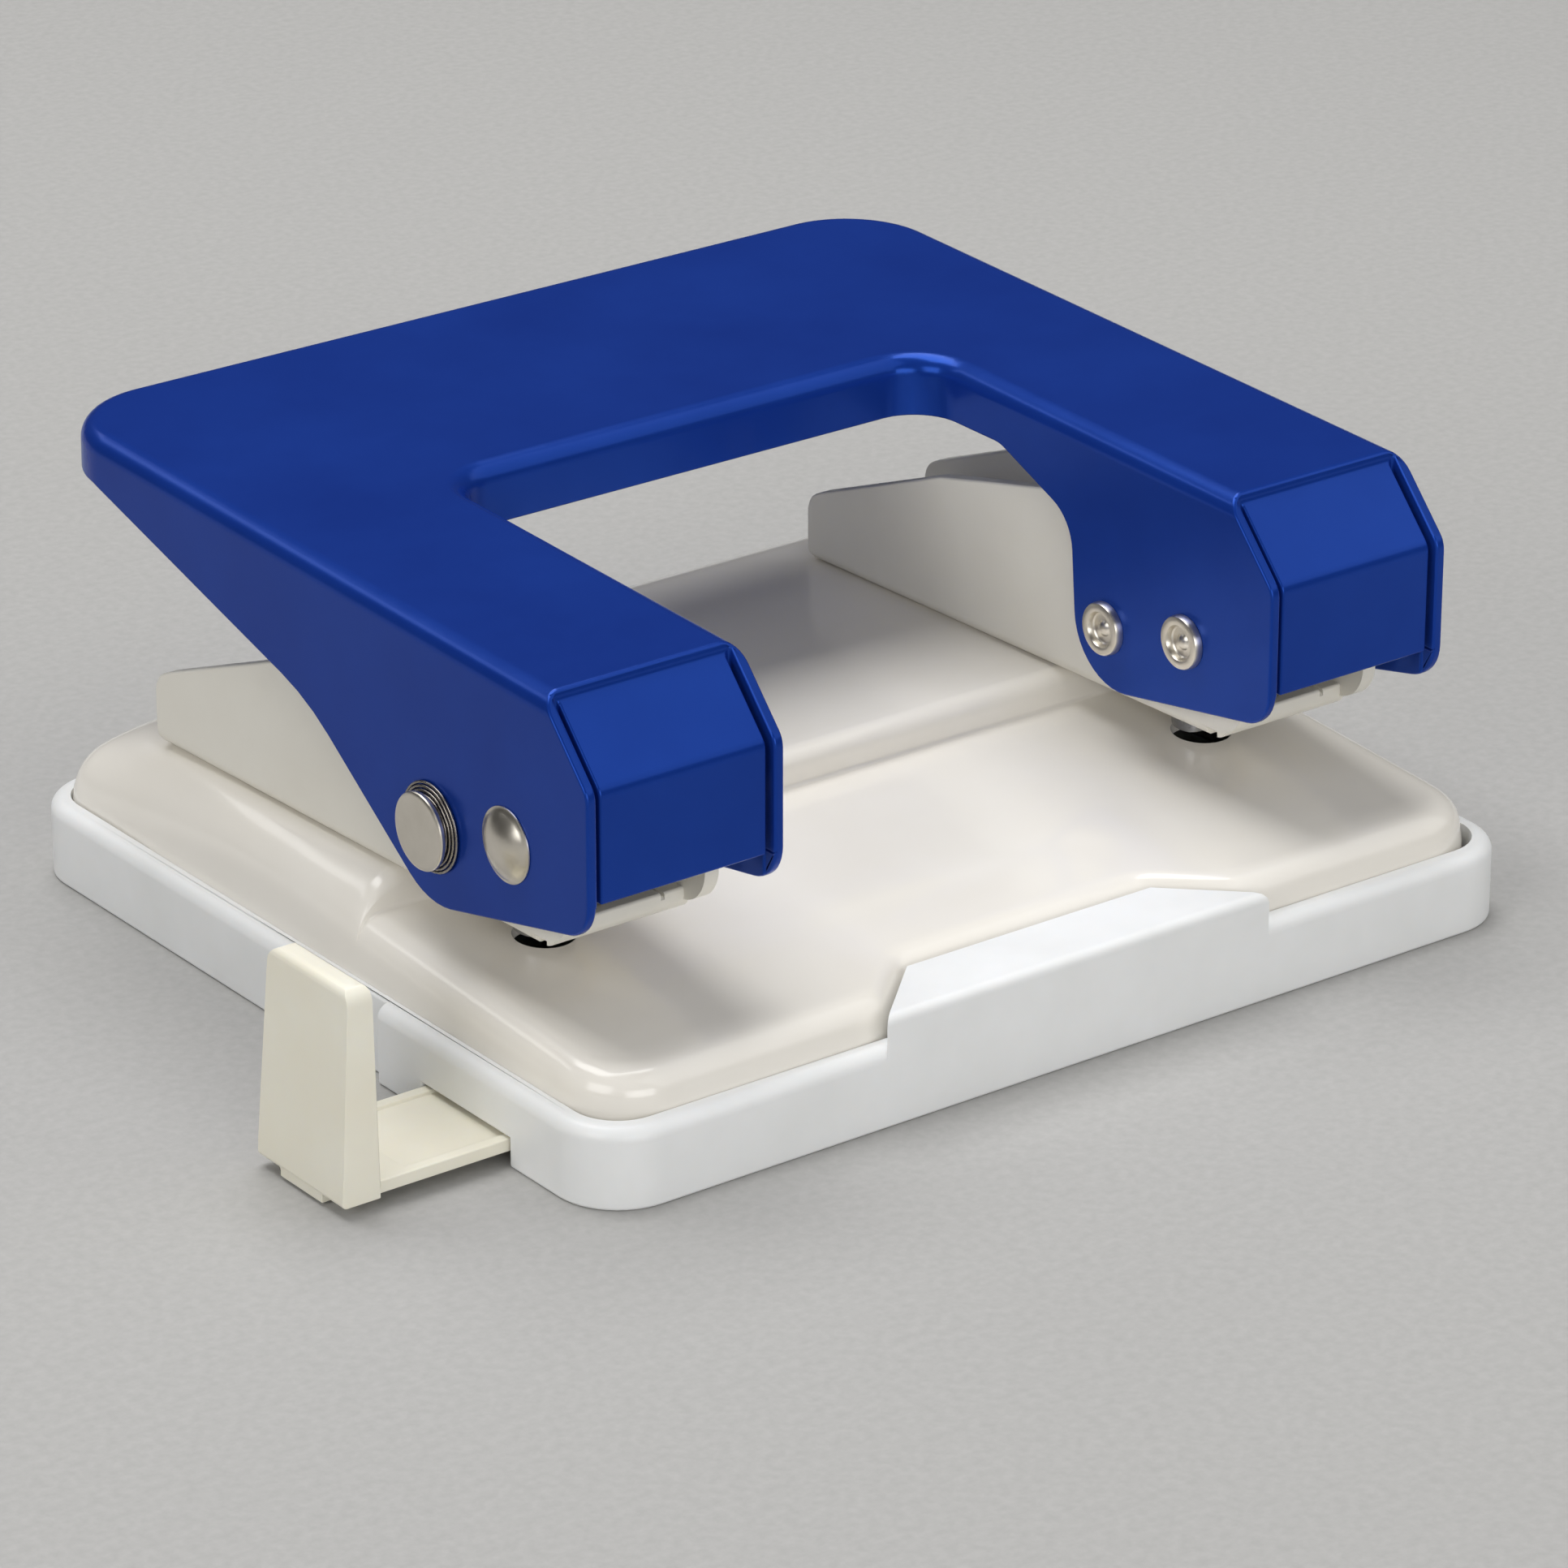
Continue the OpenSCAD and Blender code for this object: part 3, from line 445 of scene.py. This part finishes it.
# rows and columns of the sheet's mesh, closer together where it bends
meshSet = {"tableSplit": -30, "tableRows": (10, 14), "rootRows": 6, "crestRows": 10, "seatFrom": 1.5,
           "seatSplit": 34, "seatRows": (16, 12), "borderSteps": 14, "fanSteps": 12}
baseColumns = [0, 3, 6, 9, 11, 12.3, 13.3, 14.1, 14.9, 15.8, 17, 18.5, 19.8, 20.6, 21.3, 22, 23, 24.5, 27,
               30, 33, 36, 39, 41.5, 43.3, 44.5, 45.4, 46.2]


def spread(a, b, n):
    return [a + (b - a) * k / n for k in range(n)]


def tableAt(s, y):
    return s["table"] + math.tan(math.radians(s["tableRise"])) * (y - s["stop"])


def seatAt(s, y):
    return s["seat"] - math.tan(math.radians(s["seatFall"])) * (y - s["stop"])


def baseRows(s, m):
    limit = s["halfY"] - s["corner"]
    front = spread(-limit, m["tableSplit"], m["tableRows"][0])
    front += spread(m["tableSplit"], s["stop"] - s["root"], m["tableRows"][1])
    rows = [(y, tableAt(s, y)) for y in front]
    for a in quarter(m["rootRows"]):
        rows.append((s["stop"] - s["root"] * (1 - math.sin(a)), s["table"] + s["root"] * (1 - math.cos(a))))
    for a in quarter(m["crestRows"]):
        y = s["stop"] + s["crest"] * (1 - math.cos(a))
        rows.append((y, seatAt(s, y) - s["crest"] * (1 - math.sin(a))))
    rear = spread(s["stop"] + s["crest"] + m["seatFrom"], m["seatSplit"], m["seatRows"][0])
    rear += spread(m["seatSplit"], limit, m["seatRows"][1]) + [limit]
    return rows + [(y, seatAt(s, y)) for y in rear]


def cornerReach(box, small, a):
    u, v, gap = math.cos(a), math.sin(a), box - small
    if box * v <= gap * u:
        return box / u
    if box * u <= gap * v:
        return box / v
    along = gap * (u + v)
    return along + math.sqrt(along * along - 2 * gap * gap + small * small)


def baseHeight(s, x, y, top):
    dx, dy = s["halfX"] - abs(x), s["halfY"] - abs(y)

    def inset(r):
        if dx < r and dy < r:
            return r - math.hypot(r - dx, r - dy)
        return min(dx, dy)
    near = inset(s["corner"] if y < 0 else s["rearCorner"])
    d = near + (inset(s["crown"]) - near) * smoothStep(0, s["crownBlend"], near)
    r = s["frontRound"] + (s["sideRound"] - s["frontRound"]) * smoothStep(*s["frontBlend"], y)
    step = s["sideRound"] + max(top - tableAt(s, y), 0)  # keeps the wall's upper line level past the step
    if y > s["stop"] - s["root"]:
        low, high = [s["stop"] + reach for reach in s["stepBlend"]]
        r = step + (s["seatRound"] - step) * smoothStep(low, high, y)
    r += (s["rearRound"] - s["seatRound"]) * smoothStep(*s["rearBlend"], y)
    d = max(min(d, r), 0)
    return top - r + math.sqrt(r * r - (r - d) ** 2)


def softRamp(t, soft):
    return 0.5 * (t + math.sqrt(t * t + soft * soft))


def notchShift(s, x, y):
    t = (s["notchWide"] - abs(x)) / (s["notchWide"] - s["notchNarrow"])
    t = softRamp(t, s["notchSoft"]) - softRamp(t - 1, s["notchSoft"])
    fade = 1 - smoothStep(-s["halfY"] + s["corner"], s["notchEnd"], y)
    return s["notchDeep"] * min(max(t, 0), 1) * fade


def makeBase(s, m):
    bm = bmesh.new()
    rows = baseRows(s, m)
    columns = [-x for x in reversed(baseColumns[1:])] + baseColumns
    limitX, limitY, r = s["halfX"] - s["corner"], s["halfY"] - s["corner"], s["corner"]
    steps = [r] + [r * math.cos(a) for a in quarter(m["borderSteps"])[1:-1]] + [0]
    ends = {-1: rows[0][1], 1: rows[-1][1]}

    def point(x, y, top):
        return bm.verts.new(Vector((x, y + notchShift(s, x, y), baseHeight(s, x, y, top))) * mm)

    def patch(grid):
        made = [[point(*p) for p in line] for line in grid]
        for i in range(len(made) - 1):
            for j in range(len(made[0]) - 1):
                bm.faces.new((made[i][j], made[i][j + 1], made[i + 1][j + 1], made[i + 1][j]))

    patch([[(x, y, top) for x in columns] for y, top in rows])
    for side in (-1, 1):
        patch([[(side * (limitX + e), y, top) for e in steps] for y, top in rows])
        slope = math.tan(math.radians(s["tableRise"] if side < 0 else -s["seatFall"]))
        patch([[(x, side * (limitY + e), ends[side] + slope * side * e) for e in steps] for x in columns])
        for sx in (-1, 1):
            fan = []
            for a in quarter(m["fanSteps"]):
                far = cornerReach(r, s["corner"] if side < 0 else s["rearCorner"], a) / r
                fan.append([(sx * (limitX + e * far * math.cos(a)), side * (limitY + e * far * math.sin(a)),
                             ends[side] + slope * side * e * far * math.sin(a)) for e in steps])
            patch(fan)
    weld(bm, s["weld"])
    bmesh.ops.dissolve_degenerate(bm, edges=bm.edges, dist=s["sliver"] * mm)
    bmesh.ops.recalc_face_normals(bm, faces=bm.faces)
    rim = [e for e in bm.edges if len(e.link_faces) == 1]
    # the wall flares a little way down, then goes straight to the hem
    for drop, flare in ((s["flareDrop"], s["flare"]), (1, 0)):
        low = bmesh.ops.extrude_edge_only(bm, edges=rim)["geom"]
        rim = [g for g in low if isinstance(g, bmesh.types.BMEdge)]
        for v in {v for e in rim for v in e.verts}:
            v.co.z = (1 - drop) * v.co.z + drop * s["hem"] * mm
            v.co.x *= 1 + flare / s["halfX"]
            v.co.y *= 1 + flare / s["halfY"]
    bmesh.ops.recalc_face_normals(bm, faces=bm.faces)
    if max(bm.faces, key=lambda f: f.calc_center_median().z).normal.z < 0:
        bmesh.ops.reverse_faces(bm, faces=bm.faces)
    cut = bmesh.new()
    for x, y in s["holes"]:
        spot = Matrix.Translation(Vector((x, y, s["holeMiddle"])) * mm)
        bmesh.ops.create_cone(cut, cap_ends=True, segments=s["holeSides"], radius1=s["holeRadius"] * mm,
                              radius2=s["holeRadius"] * mm, depth=s["holeDepth"] * mm, matrix=spot)
    form = combine(bm, cut, "DIFFERENCE", s["sheet"])
    addPiece("basePlate", form, basePaint, "base", ["base_plate"])


makeBase(baseSet, meshSet)
print("base plate made")

# rivets and the lock button, turned about the X axis; short lists are (along, outward) from a corner
rivetSet = {"plate": plateX, "width": 22.0, "headRadius": 3.7, "headHigh": 1.5, "capSteps": 12,
            "capEnd": 0.16, "brim": ((0.06, 0.02), (0.0, -0.05)), "ring": 2.75, "ringHigh": 0.9,
            "collar": ((0.0, -0.05), (-0.05, 0.0)),
            "roll": ((0.3, -0.02), (0.08, -0.12), (0.0, -0.32), (0.0, -0.75), (0.06, -0.92), (0.2, -1.0)),
            "cup": ((-0.3, -1.12), (-0.18, -1.25), (-0.16, -1.45)),
            "stub": ((-0.2, 0.85), (-0.3, 0.72), (-0.85, 0.0)),
            "pivot": (*pivotAt, 2.5), "drive": (*driveAt, 1.8), "smooth": 30}
buttonSet = {"gap": buttonGap, "radius": 3.85, "thick": 0.65, "tail": 1.48, "tailEdge": 0.2, "groove": 0.5,
             "grooveFrom": 0.05, "grooveTo": 0.71,
             "face": ((0.0, -0.5), (-0.03, -0.25), (-0.12, -0.08), (-0.25, 0.0)),
             "back": ((0.12, 0.0), (0.02, -0.08), (0.0, -0.2))}


def turned(profile, x0, facing, y0, z0, segments=64):
    bm = bmesh.new()
    loops = []
    for a, r in profile:
        ring = [(x0 + facing * a, y0 + r * math.cos(t), z0 + r * math.sin(t))
                for t in [2 * math.pi * k / segments for k in range(segments)]]
        loops.append([bm.verts.new(Vector(p) * mm) for p in (ring if r > 0 else ring[:1])])
    for one, two in zip(loops, loops[1:]):
        for k in range(segments):
            n = (k + 1) % segments
            quad = [one[k % len(one)], one[n % len(one)], two[n % len(two)], two[k % len(two)]]
            bm.faces.new(list(dict.fromkeys(quad)))
    return bm


def fromCorner(a, r, points):
    return [(a + da, r + dr) for da, dr in points]


def rivetProfile(s, shank):
    high, radius, steps = s["headHigh"], s["headRadius"], s["capSteps"]
    cap = (radius ** 2 + high ** 2) / 2 / high
    full = math.asin(radius / cap)
    turns = [full * k / steps for k in range(steps)]
    rows = [(high - cap * (1 - math.cos(a)), cap * math.sin(a)) for a in turns]
    w, ring = -s["width"], s["ring"]
    rows += [(s["capEnd"], radius)] + fromCorner(0, radius, s["brim"])
    rows += [(0.0, shank), (w, shank)] + fromCorner(w, ring, s["collar"])
    rows += fromCorner(w - s["ringHigh"], ring, s["roll"]) + fromCorner(w, ring, s["cup"])
    return rows + fromCorner(w, 0, s["stub"])


def buttonProfile(s, w, shank):
    top, r = s["gap"] + s["thick"], s["radius"]
    neck, end = shank - s["groove"], w - s["tail"]
    rows = [(top, 0)] + fromCorner(top, r, s["face"]) + fromCorner(s["gap"], r, s["back"])
    rows += [(s["gap"], shank), (w - s["grooveFrom"], shank), (w - s["grooveFrom"], neck)]
    rows += [(w - s["grooveTo"], neck), (w - s["grooveTo"], shank)]
    return rows + [(end + s["tailEdge"], shank), (end, shank - s["tailEdge"]), (end, 0)]


def makeRivets(s, b):
    for name, node, facing, key in (("pivotRivetLeft", "pivot_rivet_left", -1, "pivot"),
                                    ("pivotRivetRight", "pivot_rivet_right", 1, "pivot"),
                                    ("driveRivetRight", "drive_rivet_right", 1, "drive")):
        y, z, shank = s[key]
        form = turned(rivetProfile(s, shank), facing * s["plate"], facing, y, z)
        addPiece(name, form, rivetNickel, "lever", [node], s["smooth"])
    y, z, shank = s["drive"]
    form = turned(buttonProfile(b, -s["width"], shank), -s["plate"], -1, y, z)
    addPiece("lockButton", form, rivetNickel, "lock", ["lock_button"], s["smooth"])


makeRivets(rivetSet, buttonSet)
print("rivets and lock button made")

# springs, each one wire swept along its path
returnSet = {"wire": 1.0, "radius": 3.9, "halfLength": 5.3, "pivot": pivotAt, "foot": (-23.43, 20.3),
             "leg": (-14.684, 24.0775), "turns": 4, "perTurn": 28, "legSteps": 4,
             "centres": {"left": -armX, "right": armX}}
lockSet = {"wire": 0.3, "turns": 5, "perTurn": 36, "from": 4.5, "to": 2.7, "plate": -plateX,
           "gap": buttonGap, "air": 0.04, "at": driveAt, "keep": 0.4}


def wire(path, thick, sides=10):
    bm = bmesh.new()
    loops = []
    across = Vector((1, 0, 0))
    for i, p in enumerate(path):
        run = (path[min(i + 1, len(path) - 1)] - path[max(i - 1, 0)]).normalized()
        e = run.cross(across).normalized()
        f = e.cross(run)
        loops.append([bm.verts.new((p + (e * math.cos(t) + f * math.sin(t)) * thick / 2) * mm)
                      for t in [2 * math.pi * k / sides for k in range(sides)]])
    for one, two in zip(loops, loops[1:]):
        for k in range(sides):
            n = (k + 1) % sides
            bm.faces.new((one[k], one[n], two[n], two[k]))
    bm.faces.new(loops[0])
    bm.faces.new(list(reversed(loops[-1])))
    return bm


def returnPath(s, x0):
    py, pz = s["pivot"]

    def leaves(spot, turn):
        dy, dz = spot[0] - py, spot[1] - pz
        return math.atan2(dz, dy) + turn * math.acos(s["radius"] / math.hypot(dy, dz))
    a0, a1 = leaves(s["foot"], 1), leaves(s["leg"], -1)
    sweep = 2 * math.pi * (s["turns"] + (1 if a1 < a0 else 0)) + a1 - a0
    count = s["perTurn"] * (s["turns"] + 1)
    coil = []
    for k in range(count + 1):
        a = a0 + sweep * k / count
        x = x0 + s["halfLength"] * (2 * k / count - 1)
        coil.append(Vector((x, py + s["radius"] * math.cos(a), pz + s["radius"] * math.sin(a))))
    foot = Vector((x0 - s["halfLength"], *s["foot"]))
    leg = Vector((x0 + s["halfLength"], *s["leg"]))
    n = s["legSteps"]
    path = [foot.lerp(coil[0], k / n) for k in range(n)] + coil
    return path + [coil[-1].lerp(leg, k / n) for k in range(1, n + 1)]


def lockPath(s):
    count = s["perTurn"] * s["turns"]
    path = []
    for k in range(count + 1):
        f = k / count
        radius = s["from"] + (s["to"] - s["from"]) * f
        a = 2 * math.pi * s["turns"] * f
        x = s["plate"] - s["wire"] / 2 - s["air"] - (s["gap"] - s["wire"] - 2 * s["air"]) * f
        path.append(Vector((x, s["at"][0] + radius * math.cos(a), s["at"][1] + radius * math.sin(a))))
    return path


def makeSprings(r, c):
    for side, x0 in r["centres"].items():
        spring = addPiece("returnSpring" + side.title(), wire(returnPath(r, x0), r["wire"]), springSteel,
                          None, ["return_spring_" + side])
        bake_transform(spring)
    spring = addPiece("lockSpring", wire(lockPath(c), c["wire"]), springSteel, "lever",
                      ["lock_spring"])
    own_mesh(spring)


makeSprings(returnSet, lockSet)
print("springs made")

# the bracket rivets stay as the solids have them
for node in ("bracket_rivets_left", "bracket_rivets_right"):
    nodes[node].data.materials.clear()
    nodes[node].data.materials.append(rivetNickel)
